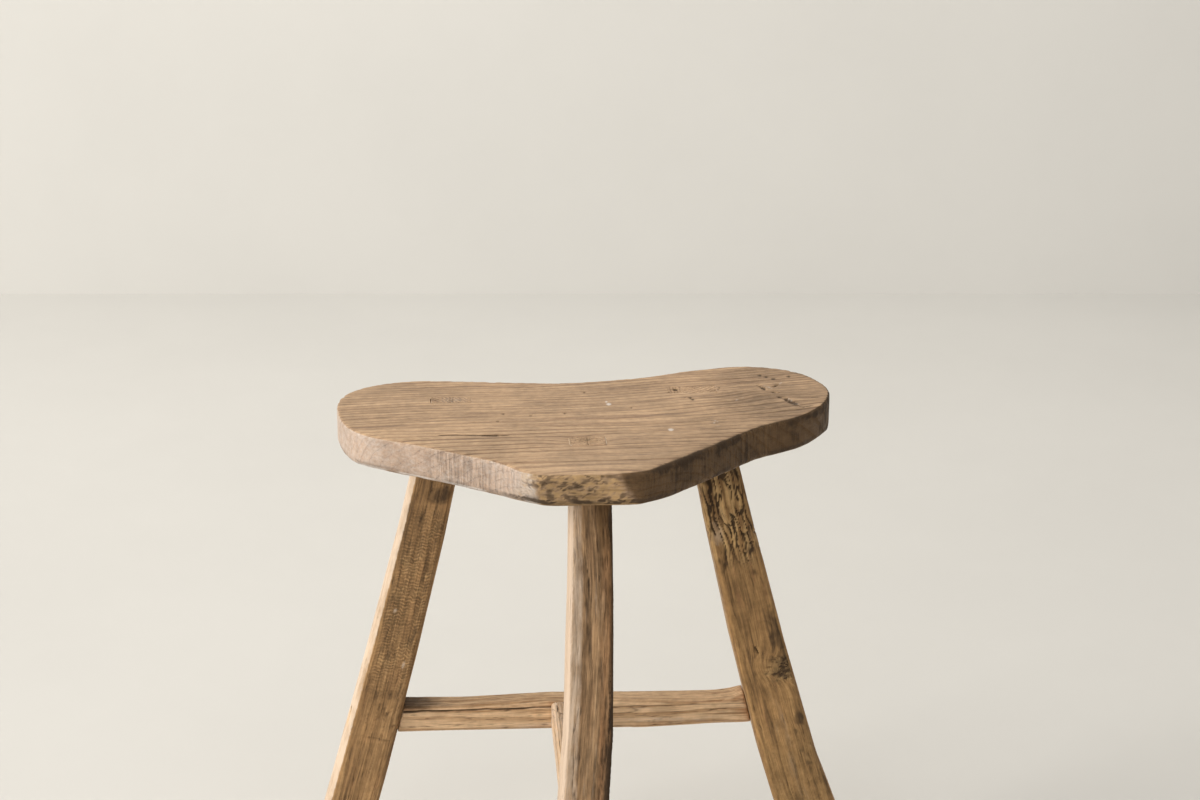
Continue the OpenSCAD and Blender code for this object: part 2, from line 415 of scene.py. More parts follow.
def wood(name, light, field, deep, ring_gap, ring_dark=0.35, streak=1.0, pores=0.5,
         mottle=0.5, band_tone=None, bleach_and_highlight=(0.61, 0.545, 0.495), honey=(0.50, 0.32, 0.15),
         line_shape=(0.45, 0.86, 0.93), wander=0.9, strands=0.2, teeth=0.0, rasped=False,
         relief=1.0, rough=(0.5, 0.78)):
    """Open-grained old elm. The grain attribute holds the distance across the rings,
    around them and along the fibres, so every pattern follows the worn surface.
    light, field and deep are the clear, the common and the early wood's colours;
    line_shape says where in a ring its dark line rises and drops; teeth is the height
    of the tool marks that the mask saw shows."""
    t = Tree(name)
    grain = t.mask("grain", "Vector")
    place = t.place()

    # Broad and fine streaks along the fibres.
    broad = t.noise(t.along(grain, 0.045), 7.0, 3.0, 0.6, 0.4)
    fine = t.noise(t.along(grain, 0.03), 1.6, 3.0, 0.65, 0.2)
    hair = t.noise(t.along(grain, 0.05), 0.55, 2.0, 0.6)
    tone = t.linear(broad, 0.5, t.times(fine, 0.5))
    colour = t.mix(t.span(tone, 0.5 - 0.15 / streak, 0.5), deep, field)
    colour = t.mix(t.span(tone, 0.5, 0.5 + 0.15 / streak), colour, light)

    # Dark early wood at each ring, ragged, with the late wood fading up to it.
    drift = t.noise(t.along(grain, 0.06), 9.0, 2.0, 0.5)
    across = t.linear(drift, wander * ring_gap * MM, t.part(grain, "X"))
    phase = t.math("FRACT", t.math("DIVIDE", across, ring_gap * MM))
    rise_from, rise_to, drop_from = line_shape
    line = t.times(t.span(phase, rise_from, rise_to), t.span(phase, 1.0, drop_from))
    patchy = t.span(t.noise(t.stretch(grain, (0.5, 0.5, 0.09)), 14.0, 2.0, 0.6), 0.25, 0.68)
    ring = t.times(line, t.linear(patchy, 0.75, 0.25))
    colour = t.mix(t.times(ring, ring_dark), colour, deep)

    # Pores: short dark dashes, thickest in the early wood.
    dash = t.noise(t.along(grain, 0.07), 1.05, 1.0, 0.5)
    pore = t.span(dash, 0.60, 0.70)
    pore = t.times(pore, t.linear(line, 0.7, 0.3))
    colour = t.mix(t.times(pore, pores), colour, DIRT_AND_SHADE)

    # The band is the plank's edge, with a tone of its own.
    band = t.mask("band")
    ragged = t.noise(t.along(grain, 0.2), 2.6, 4.0, 0.68)
    if band_tone:
        colour = t.mix(t.times(band, 0.75), colour, band_tone)

    # Painted masks, broken up by noise so that none has a clean edge.
    def painted(colour, mask, tone, limit):
        amount = t.linear(ragged, 0.7, -0.35)
        amount = t.times(amount, t.span(t.mask(mask), 0.0, 0.2))
        amount = t.plus(t.mask(mask), amount)
        return t.mix(t.span(amount, 0.05, 0.85, 0.0, limit), colour, tone)

    colour = painted(colour, "gold", honey, 0.85)
    colour = painted(colour, "warm", BLUSH, 0.75)
    colour = painted(colour, "stain", STAIN, 0.92)

    # Patina: dull and clear patches, dull and clear strands, and the tool marks.
    patch = t.noise(place, 45.0, 4.0, 0.62)
    shade = t.span(patch, 0.32, 0.68, 1 - 0.24 * mottle, 1 + 0.14 * mottle)
    small = t.noise(place, 6.0, 3.0, 0.6)
    shade = t.times(shade, t.span(small, 0.3, 0.72, 1 - 0.16 * mottle, 1 + 0.12 * mottle))
    strand = t.noise(t.along(grain, 0.035), 1.1, 2.0, 0.7)
    shade = t.plus(shade, t.span(strand, 0.34, 0.66, -strands, strands))
    if teeth:
        combed = t.noise(t.along(place, 0.07), 1.9, 2.0, 0.6)
        comb = rasp_marks(t, grain) if rasped else t.span(combed, 0.36, 0.64)
        swing = t.linear(comb, 1.5, -0.75)
        shade = t.plus(shade, t.times(swing, t.times(t.mask("saw"), 0.42)))
    tint = t.nodes.new("ShaderNodeCombineColor")
    for key in ("Red", "Green", "Blue"):
        t.put(tint.inputs[key], shade)
    colour = t.mix(1.0, colour, tint.outputs[0], "MULTIPLY")

    # Rubbed arrises, with painted highlights on the lit ones; dirt in the hollows, slanting nicks;
    # bleached places and painted highlights; dirt in splits and painted shade.
    arris = t.plus(t.mask("arris"), t.linear(ragged, 0.9, -0.45))
    colour = t.mix(t.span(arris, 0.22, 0.75, 0.0, 0.8), colour, RUBBED_AND_LIT)
    hollow = t.span(arris, -0.25, -0.75, 0.0, 0.6)
    colour = t.mix(hollow, colour, DIRT_AND_SHADE)
    slant = t.linear(t.part(place, "Y"), 0.5, t.part(place, "X"))
    slant = t.linear(patch, 6 * MM, slant)
    hatch = t.span(t.math("SINE", t.times(slant, FULL_TURN / (NICK_GAP * MM))), 0.0, 0.9)
    nick = t.times(hatch, t.span(small, 0.38, 0.56))
    colour = t.mix(t.times(nick, t.mask("nick")), colour, NICK_TONE)
    colour = painted(colour, "pale", bleach_and_highlight, 0.9)
    colour = painted(colour, "dark", DIRT_AND_SHADE, 0.93)
    t.put(t.shader.inputs["Base Color"], colour)

    # Roughness: ridges are rubbed smoother than pores and dirt.
    dull = t.linear(fine, 0.6, t.times(ring, 0.35))
    dull = t.plus(dull, t.times(t.mask("dark"), 0.3))
    t.put(t.shader.inputs["Roughness"], t.span(dull, 0.15, 0.7, *rough))
    t.shader.inputs["Specular IOR Level"].default_value = 0.22

    # Bump: sunken rings and pores, raised fibres, tool marks.
    height = t.linear(ring, -0.55, t.times(fine, 0.6))
    height = t.linear(hair, 0.35, height)
    height = t.linear(pore, -0.7, height)
    if teeth:
        height = t.linear(t.times(comb, t.mask("saw")), teeth, height)
    t.put(t.shader.inputs["Normal"], t.bump(height, 0.45 * relief))
    return t.material


# ---- seat


SEAT_RING = 6.2
FRONT_KNOT = (-9, -42)
LEFT_TENON = (-110, 67.5)


def seat_grain(p):
    """Rings about a pith that lies along X, low under the nose of the plank."""
    pith_y, pith_z = -118.0, SEAT_TOP - 74.0
    x, y, z = p.T
    sway = 9.0 * noise(p * [1, 1, 0.2], (190, 80, 60), 11, 2)
    lift = 0.17 * np.log1p(np.exp((x - 30) / 22)) * 22
    level = y - 0.03 * x - lift * (0.2 + 0.8 * ramp(y, -30, 50)) + sway
    # The fibres part around the two knots.
    level = level + 9 * blob(x, y, (-9, -44), (42, 22)) - 7 * blob(x, y, (150, 62), (40, 30))
    around = np.arctan2(level - pith_y, z - pith_z)
    return np.stack([np.hypot(level - pith_y, z - pith_z), around * 90, x], axis=1)


def mortise_rims():
    """Boxes in plan that hold the mortises' mouths, at the seat's top and underside."""
    boxes = []
    for node in ("front_leg", "left_leg", "right_leg", "right_wedge"):
        points = np.array([v.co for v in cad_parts[node].data.vertices]) / MM
        tops = points[np.abs(points[:, 2] - SEAT_TOP) < 0.1]
        boxes.append((tops[:, :2].min(axis=0) - 1, tops[:, :2].max(axis=0) + 1))
    return boxes


# Marks on the seat's top, in plan. A stroke is its start, its end and its width; the
# faint ones share theirs.
SPLIT = ((-126, -20.6), (-66, -27.0), 3.4)
SPLIT_HEART = ((-90, -24.6), (-75, -26.2), 6.0)
FAINT_WIDTH = 2.4
FAINT_LINES = (
    ((-176, -34), (-128, -29)), ((96, 108), (136, 111)), ((64, 72.5), (80, 78)),
    ((80, 90), (112, 92)), ((101, 78), (112, 79.5)), ((111.5, 79), (114, 89)),
    ((20, 102), (58, 106)), ((169, 33.5), (176, 29.2)), ((176, 29.2), (184, 33)),
    ((186, 53.5), (195, 53.8)),
)
GOUGES = (
    ((148, 92), (151, 77), 4.2), ((159, 84), (164, 92), 3.4), ((156, 71), (161, 68), 4.6),
    ((159, 58), (166, 53), 6.5), ((164, 53), (171, 37), 7.5),
)
TORN_FIBRES = (
    ((151, 91), (157, 80), 4.4), ((164, 92), (168, 97), 3.0), ((166, 56), (169, 47), 3.4),
    ((168, 44), (173, 35), 4.6), ((122, 48), (126, 56), 2.8), ((126, 56), (131, 58), 2.6),
    ((97, -12), (99, 0), 2.6), ((99, 0), (102, -5), 2.2), ((97, -13), (102, -15), 2.2),
)
PINHOLES = (
    (152, 117.5), (156.7, 113.3), (162, 107), (176, 113), (86, 60), (87.5, 55), (35, 37),
    (-0.5, 81), (-70, 28), (-75, 9), (-48, 22), (-20, 26),
)
PAINT_SPOTS = (
    ((17.3, 47.4), (3.0, 5.5), 1.0), ((61.9, -21.4), (3.4, 5.0), 1.0), ((16, 54), (1.8, 3), 0.8),
)
MARKS = ("dark", "pale", "stain", "gold", "nick")


def top_marks(p):
    """The wounds and stains of the seat's top, over the plank, the tenons and the wedges."""
    x, y = p[:, 0], p[:, 1]
    flat = p * [1, 1, 0]
    crumbs = 0.5 + 0.5 * noise(flat, (3.2, 4.5, 9), 30, 3, 0.65)
    wavy = y + 0.6 * noise(flat, (14, 14, 9), 29)

    # A drying split left of the middle, its heart open and dark.
    split, heart = stroke(x, wavy, *SPLIT), stroke(x, wavy, *SPLIT_HEART)
    faint = sum(stroke(x, wavy, *line, FAINT_WIDTH) for line in FAINT_LINES)

    # Gouges near the right end, and torn fibres that catch the light beside them.
    gouge = sum(stroke(x, y, *line) for line in GOUGES)
    gouge = np.clip(gouge * (0.5 + crumbs), 0, 1)
    torn = sum(stroke(x, y, *line) for line in TORN_FIBRES)
    curls = hairlines(flat, (11, 13, 9), 28, 0.12, 0.02) * blob(x, y, (100, 0), (20, 30))

    # The worn knot over the front tenon, its rings half rubbed away.
    knot = blob(x, y, FRONT_KNOT, (30, 18))
    reach = np.hypot((x - FRONT_KNOT[0]) / 24, (y - FRONT_KNOT[1]) / 15)
    reach = reach + 0.22 * noise(flat, (13, 13, 9), 37, 2)
    curl = ramp(np.sin(reach * 15), 0.0, 0.9) * patches(flat, (6, 4, 9), 32, -0.5, 0.4)

    # A worm hole, pinholes, a grey patch, and a darkening towards the right.
    hole = blob(x, y, (76, 84), (3.4, 5.0))
    dots = sum(blob(x, y, at, (2.4, 3.8)) for at in PINHOLES)
    grey = blob(x, y, (150, 38), (56, 60)) * patches(flat, (26, 20, 9), 27, -0.7, 0.2)
    darker_to_right = 0.30 * ramp(x - 0.3 * y, 30, 110)
    soft_spot = blob(x, y, (-61, -2), (9, 10))

    # Over the left tenon, a bruise that the material crosses with short worn nicks.
    bruise = blob(x, y, LEFT_TENON, (21, 13))
    specks = patches(flat, (3.2, 4.2, 3), 35, 0.76, 0.95, 1)
    specks *= patches(p, (50, 50, 50), 36, -0.1, 0.4, 1)
    paint = sum(share * blob(x, y, at, radii) for at, radii, share in PAINT_SPOTS)
    return {
        "depth": 0.7 * split + 1.5 * heart + 0.35 * faint + 2.0 * gouge + 0.35 * knot * curl
        + 1.6 * hole + 0.5 * dots + 0.3 * curls + 0.3 * specks,
        "dark": 1.1 * split + 2.2 * heart + 0.36 * faint + 0.85 * gouge * ramp(crumbs, 0.3, 0.6)
        + knot * (0.20 + 0.26 * curl) + darker_to_right + 1.1 * hole + 0.75 * dots
        + 0.12 * bruise + 0.10 * curls + 0.5 * specks + 0.15 * grey + 0.30 * soft_spot,
        "pale": 0.75 * torn * ramp(crumbs, 0.35, 0.6) + 0.18 * curls + 1.3 * paint
        + 0.20 * gouge * ramp(crumbs, 0.5, 0.2) + 0.20 * bruise + 0.10 * grey,
        "stain": 0.34 * knot,
        "gold": 0.22 * knot,
        "nick": ramp(bruise, 0.1, 0.6) * 0.6,
    }


NOSE_BACK = -84
NOSE_RIGHT = 4
CORNER_LEAN = 0.57


class Seat(Member):
    """The plank. q holds its worn points before the carving; the masks top, foot, band,
    nose, left_front and right_front say which face a point is on."""

    def __init__(self):
        super().__init__("seat", "plank_seat", 1.5)
        rims = mortise_rims()

        def at_rim(point):
            on_top = abs(point[2] - SEAT_TOP) < 0.1
            return on_top and any((point[:2] > lo).all() and (point[:2] < hi).all() for lo, hi in rims)

        self.hold(at_rim)
        self.wear_edges()
        self.q = self.p.copy()
        self.n = self.normals()
        self.find_faces()
        self.grain = seat_grain(self.q)
        self.arris = self.arrises(3)
        self.edge = np.clip(self.arris, 0, 1)
        self.streaks = 0.5 + 0.5 * noise(self.q * [1, 1, 0.12], (4.2, 4.2, 6), 38, 3, 0.65)
        self.torn = np.clip(noise(self.q, (15, 15, 5.5), 9, 4, 0.6) + 0.12, 0, 1)

    def wear_edges(self):
        """All arrises a little; the nose, the front's foot and the right top arris a lot."""
        self.wear_round(7)
        x, y, z = self.p.T
        at_nose = ramp(y, NOSE_BACK, NOSE_BACK - 20)
        self.wear_round(30, at_nose * (0.5 + 0.5 * ramp(z, SEAT_TOP - 1, SEAT_TOP - 6)))
        in_front = ramp(y, 60, 30) * (1 - 0.75 * at_nose)
        self.wear_round(48, in_front * ramp(z, SEAT_FOOT + 10, SEAT_FOOT + 3))
        right_arris = ramp(x, -8, 14) * ramp(x, 225, 190)
        right_arris *= ramp(z, SEAT_TOP - 8, SEAT_TOP - 2) * ramp(y, 20, -10)
        self.wear_round(14, 0.8 * right_arris)
        self.wear_round(30, 0.8 * right_arris * ramp(x, 120, 70))

    def find_faces(self):
        x, y, z = self.q.T
        n = self.n
        self.top, self.foot = ramp(n[:, 2], 0.4, 0.9), ramp(-n[:, 2], 0.4, 0.9)
        self.band = ramp(np.abs(n[:, 2]), 0.9, 0.5)
        # The heading is 0 towards the front and grows towards the right.
        heading = np.degrees(np.arctan2(n[:, 0], -n[:, 1]))
        upper_round = ramp(n[:, 2], 0.99, 0.88) * ramp(z, SEAT_FOOT + 10, SEAT_FOOT + 20)
        beyond_nose = ramp(x + CORNER_LEAN * (z - SEAT_TOP), NOSE_RIGHT, NOSE_RIGHT + 14)
        corner = beyond_nose * ramp(y, NOSE_BACK, NOSE_BACK - 16)
        on_right = np.maximum(ramp(heading, 6, 24), corner) * beyond_nose
        self.right_front = np.maximum(self.band, upper_round) * on_right * ramp(heading, 168, 125)
        self.left_front = self.band * ramp(heading, -14, -34) * ramp(heading, -160, -110)
        self.nose = self.band * near(heading, 0, 30, 18) * ramp(y, NOSE_BACK, NOSE_BACK - 24)
        self.nose *= 1 - beyond_nose
        self.mid_right = self.right_front * near(x, 95, 42, 30)
        self.sawn = self.left_front * near(x, -82, 34, 22)

    def carve_faces(self):
        """Sunken early wood, a nibbled arris, flutes across the edge, torn fibres at the nose."""
        q, z = self.q, self.q[:, 2]
        phase = (self.grain[:, 0] / SEAT_RING) % 1
        ring = ramp(phase, 0.4, 0.85) * ramp(phase, 1.0, 0.9)
        depth = self.top * (0.16 * ring + 0.3 * (0.5 + 0.5 * noise(q, (60, 40, 40), 3, 2)))
        upper = ramp(z, SEAT_FOOT + 12, SEAT_TOP - 4)
        nibble = patches(q * [1, 1, 0.3], (8, 8, 9), 5, 0.1, 0.6, 3, 0.65)
        chip = patches(q, (15, 15, 12), 6, 0.5, 0.8, 2, 0.6)
        depth += (1 - self.firm) * self.edge * (upper * (0.1 + 1.3 * nibble) + 0.9 * chip)
        flutes = noise(q * [1, 1, 0.08], (6, 6, 7), 8, 2, 0.6)
        depth += self.band * (1 - self.nose) * 0.22 * (0.5 + flutes) * (0.5 + 0.5 * self.right_front)
        depth += self.nose * 1.3 * self.torn
        depth += self.band * 0.35 * (0.5 + 0.5 * noise(q, (38, 38, 30), 12, 2))
        depth += self.foot * 0.5 * np.clip(noise(q, (70, 11, 30), 21, 2) + 0.4, 0, 1)
        marks = top_marks(q)
        self.carve(np.clip(depth + self.top * marks["depth"], 0, 3.5), self.n)
        for name in MARKS:
            self.paint(name, self.top * marks[name])

    def paint_right_front(self):
        """Brown with handling, streaked up and down, scraped to gold in places."""
        q, z, side = self.q, self.q[:, 2], self.right_front
        clouds = 0.5 + 0.5 * noise(q * [1, 1, 0.8], (24, 24, 13), 45, 3, 0.6)
        self.paint("stain", side * (0.80 + 0.30 * clouds))
        self.paint("dark", side * 0.60 * ramp(clouds, 0.42, 0.7) * ramp(self.streaks, 0.2, 0.7))
        self.paint("dark", side * 0.16)
        self.paint("dark", self.mid_right * 0.55 * ramp(self.streaks, 0.55, 0.8))
        ragged_top = SEAT_TOP - 3.5 + 3 * noise(q * [1, 1, 0], (9, 9, 9), 49, 2)
        self.paint("dark", side * 0.40 * near(z, ragged_top, 1.5, 3) * ramp(clouds, 0.3, 0.6))
        scrapes = 0.55 * patches(q, (22, 22, 4), 46, 0.22, 0.55, 3, 0.6)
        between = 0.45 * self.mid_right * ramp(self.streaks, 0.5, 0.3)
        self.paint("gold", side * (0.10 + scrapes + between))
        self.paint("warm", side * (0.25 + 0.5 * ramp(z, SEAT_FOOT + 4, SEAT_FOOT + 1)))

    def paint_nose(self):
        """Dark cells in a net of golden torn fibres, a painted shadow line along the foot and a painted
        highlight on the lower rim.
        """
        q, nose = self.q, self.nose
        x, z = q[:, 0], q[:, 2]
        swirl = q + 7 * np.stack([noise(q, (12, 12, 8), seed) for seed in (53, 54, 55)], axis=1)
        net = np.abs(noise(swirl, (15, 15, 6), 39, 3, 0.6))
        cells = ramp(net, 0.08, 0.24) * patches(q, (24, 24, 12), 56, -0.6, 0.1)
        # A painted shadow line just above the foot; below it, the lit rim is a painted highlight.
        nose_shadow_line = near(z + 1.2 * noise(q, (18, 18, 9), 57), SEAT_FOOT + 5.0, 0.8, 2.0)
        nose_shadow_line *= patches(q * [1, 1, 0], (22, 22, 9), 58, -0.35, 0.1, 1)
        lit = ramp(z, SEAT_FOOT + 3.2, SEAT_FOOT + 1.5)
        dark = 0.55 * cells + 0.35 * ramp(self.torn, 0.35, 0.7) + 0.50 * nose_shadow_line
        self.paint("gold", nose * (0.30 + 0.45 * ramp(net, 0.16, 0.04) + 0.3 * lit))
        self.paint("dark", nose * dark * (1 - lit))
        self.paint("dark", nose * 0.35 * ramp(z, SEAT_TOP - 7, SEAT_TOP - 2) * ramp(x, -20, 10))
        self.cloud("stain", nose * 0.30, (20, 20, 7), 48, -0.3, 0.3, 3)
        self.cloud("pale", nose * 0.18, (15, 15, 3.5), 43, 0.12, 0.5, 3, 0.6)

    def paint_left_front(self):
        """Bare and dusty, crossed by saw marks, with a painted blue-grey shadow line above its foot."""
        q, side = self.q, self.left_front
        x, z = q[:, 0], q[:, 2]
        stains = patches(q * [1, 1, 0.8], (15, 15, 9), 41, 0.05, 0.55, 4, 0.62)
        # Painted shade: a dark shadow line just above the foot.
        foot_shadow_line = self.band * near(z, SEAT_FOOT + 4.5, 1.2, 2.5)
        self.paint("dark", side * (0.36 * stains + 0.16 * self.sawn * ramp(self.streaks, 0.5, 0.8)))
        self.paint("dark", 0.34 * foot_shadow_line * patches(q * [1, 1, 0.2], (24, 24, 9), 40, -0.3, 0.2, 1))
        dust = 0.5 + 0.5 * noise(q * [1, 1, 0.4], (24, 24, 12), 42, 3)
        dust_ends = 0.20 * ramp(x, -85, -55) + 0.08 * ramp(x, -150, -185)
        self.paint("pale", side * (0.14 + 0.30 * dust + dust_ends))

    def paint_edges(self):
        """The lower rim painted as a highlight, pale at the left and golden at the nose, and the other
        faces.
        """
        q, band = self.q, self.band
        x, y, z = q.T
        # Painted highlight along the lower rim: pale at the left, golden at the nose.
        lit_rim = near(z, SEAT_FOOT + 2.2, 1.2, 1.2) * ramp(y, 60, 30) * patches(q, (20, 20, 9), 59, -0.6, 0, 1)
        self.paint("pale", 0.50 * lit_rim * ramp(x, -40, -60))
        self.paint("gold", 0.55 * lit_rim * ramp(x, -60, -40))
        behind = (1 - self.left_front) * (1 - self.right_front) * (1 - self.nose)
        self.paint("stain", 0.45 * self.foot + 0.2 * band * behind)
        self.paint("gold", 0.55 * self.edge * band * (1 - self.right_front))
        self.cloud("warm", 0.10 * self.top, (45, 25, 25), 44, 0.1, 0.6)
        self.masks["band"] = band * (1 - 0.8 * self.nose) * (1 - 0.8 * self.right_front)
        tooled = np.maximum(self.sawn, 0.7 * self.mid_right)
        self.masks["saw"] = band * (1 - self.nose) * (0.12 + 0.55 * tooled)
        self.masks["arris"] = self.arris * (1 - 0.6 * self.top) * (1 - 0.75 * self.right_front)


def make_seat():
    seat = Seat()
    seat.carve_faces()
    seat.paint_right_front()
    seat.paint_nose()
    seat.paint_left_front()
    seat.paint_edges()
    material = wood(
        "seat_elm", light=(0.520, 0.351, 0.213), field=(0.429, 0.284, 0.169),
        deep=(0.225, 0.136, 0.078), ring_gap=SEAT_RING, ring_dark=0.85, streak=0.95,
        mottle=0.7, band_tone=(0.385, 0.267, 0.198), line_shape=(0.58, 0.91, 0.965),
        wander=0.55, strands=0.07, teeth=1.3, rough=(0.45, 0.75),
    )
    seat.finish(seat.grain, "seat_elm", [material])


# ---- legs


class Leg(Member):
    """A leg with its own coordinates: u across the stool, v front to back, z up."""

    def __init__(self, node, name, voxel, passes):
        super().__init__(node, name, voxel)
        self.hold(lambda q: abs(q[2] - SEAT_TOP) < 0.1)
        self.wear_round(passes)
        middle_x, middle_y = centre_line(self.p, 6.0, SEAT_FOOT - 12)
        self.z = self.p[:, 2].copy()
        self.u = self.p[:, 0] - np.polyval(middle_x, self.z)
        self.v = self.p[:, 1] - np.polyval(middle_y, self.z)
        self.q = np.stack([self.u, self.v, self.z], axis=1)
        self.n = self.normals()
        self.free = 1 - self.firm
        self.front = ramp(-self.n[:, 1], 0.55, 0.9)
        self.left = ramp(-self.n[:, 0], 0.55, 0.9)
        self.right = ramp(self.n[:, 0], 0.55, 0.9)
        self.tenon = ramp(self.z, SEAT_FOOT - 2, SEAT_FOOT + 1)
        self.ends = self.tenon * ramp(self.n[:, 2], 0.5, 0.9)

    def rings(self, pith, sway=3.0, seed=60):
        """Rings about a pith beside the leg, in the leg's own coordinates."""
        shift = sway * noise(self.q, (60, 60, 150), seed, 2)
        return rings_about(self.u - pith[0] + shift, self.v - pith[1], self.z)

    def nicked(self, seed, amount, size=16.0):
        """Knocks and dents along the arrises, and a slow unevenness of the faces."""
        arris = self.arrises(2)
        edge = np.clip(arris, 0, 1)
        knock = patches(self.q, (size, size, size * 0.9), seed, 0.1, 0.75, 3, 0.6)
        dents = 0.5 + 0.5 * noise(self.q, (30, 30, 55), seed + 1, 2)
        return arris, (1 - self.tenon) * (edge * amount * (0.05 + knock) + 0.4 * dents)

    def show_top_marks(self):
        """The tenon's end wears with the seat's top, and shares its marks."""
        marks = top_marks(self.p)
        self.p[:, 2] -= self.ends * np.clip(marks["depth"] + 0.15, 0, 2.5) * (1 - 0.8 * self.firm)
        for name in self.masks:
            self.masks[name] = self.masks[name] * (1 - self.ends)
        for name in MARKS:
            self.paint(name, self.ends * marks[name])

    def close_up(self, grain, slot, material):
        # Painted shade: the leg is darkened where it runs up under the seat.
        shade_under_seat = ramp(self.z, SEAT_FOOT - 16, SEAT_FOOT) * (1 - self.tenon)
        self.paint("dark", 0.35 * shade_under_seat)
        self.paint("dark", 0.25 * ramp(self.z, 26, 2))
        self.show_top_marks()
        self.finish(grain, slot, [material, END_GRAIN], self.ends)


def make_left_leg():
    leg = Leg("left_leg", "left_leg_bar", 1.0, 3)
    u, z, q, front = leg.u, leg.z, leg.q, leg.front
    arris, depth = leg.nicked(71, 1.1)

    # Rasp marks cover most of the front; the material draws the teeth themselves.
    patch = near(z, 300, 64, 34) * ramp(u, -18, -9)
    patch *= 0.45 + 0.55 * patches(q, (12, 12, 22), 75, -0.45, 0.25, 3, 0.6)
    hollows = 0.5 + 0.5 * noise(q, (5, 5, 4.5), 74, 2)
    depth += front * 0.35 * hollows * patch
    # Gouge marks where the rail's mortise was cut, and a pared flat above it.
    hack = patches(q, (7, 7, 9), 76, 0.0, 0.5, 3, 0.6) * near(z, 181, 12, 10)
    hack *= front * ramp(u, -8, 6)
    ledge = front * near(z, 208, 3, 3) * ramp(u, -14, -2)
    foot_cut = stroke(u, z + 0.25 * u, (-2, 166), (18, 166), 4.5) * front
    depth += 1.1 * hack + 0.45 * ledge + 0.8 * foot_cut
    # The print of an old branch under the seat, its upper rim frayed.
    print_ring = np.hypot((u - 10) / 12, (z - 399) / 8.5)
    arc = near(print_ring, 0.92, 0.05, 0.16) * front
    arc *= patches(q, (6, 6, 6), 85, -0.5, 0.3)
    fray = front * patches(q, (3, 3, 3), 86, 0.15, 0.6) * near(z, 408, 2.5, 5) * ramp(u, -6, 2)
    depth += 0.45 * arc + 0.6 * fray + 0.35 * ramp(print_ring, 1.0, 0.7) * front
    leg.carve(np.clip(depth, 0, 3.5), leg.n)

    veins = hairlines(q, (7, 7, 85), 87, 0.09, 0.0, 3, 0.6) * front
    leg.paint("dark", 0.20 * arc + 0.34 * front * ramp(print_ring, 1.05, 0.5) + 0.35 * hack)
    leg.paint("dark", 0.30 * veins + 0.35 * foot_cut + 0.2 * ledge)
    leg.cloud("dark", front * 0.26, (14, 14, 40), 78, 0.0, 0.5, 3, 0.6)
    leg.paint("dark", 0.28 * front * ramp(z, 350, 425) * ramp(u, -18, -6))
    shades = patches(q, (16, 16, 60), 88, 0.0, 0.5)
    leg.paint("stain", 0.35 * front * near(z, 330, 60, 60) * shades)
    leg.cloud("gold", front * patch * 0.40, (7, 7, 16), 82, -0.2, 0.4, 3)
    leg.masks["saw"] = front * patch
    leg.paint("gold", 0.6 * fray)
    leg.paint("pale", 0.15 * fray + 0.25 * hack * patches(q, (4, 4, 4), 89, 0.0, 0.5, 1))
    leg.cloud("warm", 0.22 * front, (9, 9, 40), 80, 0.0, 0.5)
    # Painted highlight: the side that faces the light is painted paler and its arrises lighter.
    lit_side = ramp(-leg.n[:, 0], 0.3, 0.6)
    leg.paint("pale", lit_side * (0.62 + 0.30 * noise(q, (12, 12, 22), 81, 2)))
    dashes = patches(q, (5, 5, 9), 90, 0.35, 0.6) * lit_side
    leg.paint("dark", 0.25 * dashes)
    leg.paint("pale", 0.7 * front * (blob(u, z, (-7, 291), (2.4, 4)) + blob(u, z, (12, 238), (2.6, 6))))
    leg.masks["arris"] = arris * (0.35 + 0.65 * lit_side)
    material = wood(
        "left_leg_elm", light=(0.475, 0.288, 0.134), field=(0.372, 0.217, 0.096),
        deep=(0.170, 0.096, 0.043), ring_gap=4.2, ring_dark=0.5, mottle=0.8,
        bleach_and_highlight=(0.70, 0.56, 0.43), strands=0.16, teeth=1.6, rasped=True, relief=0.9,
    )
    leg.close_up(leg.rings((34, 46), 4.0, 83), "left_leg_elm", material)


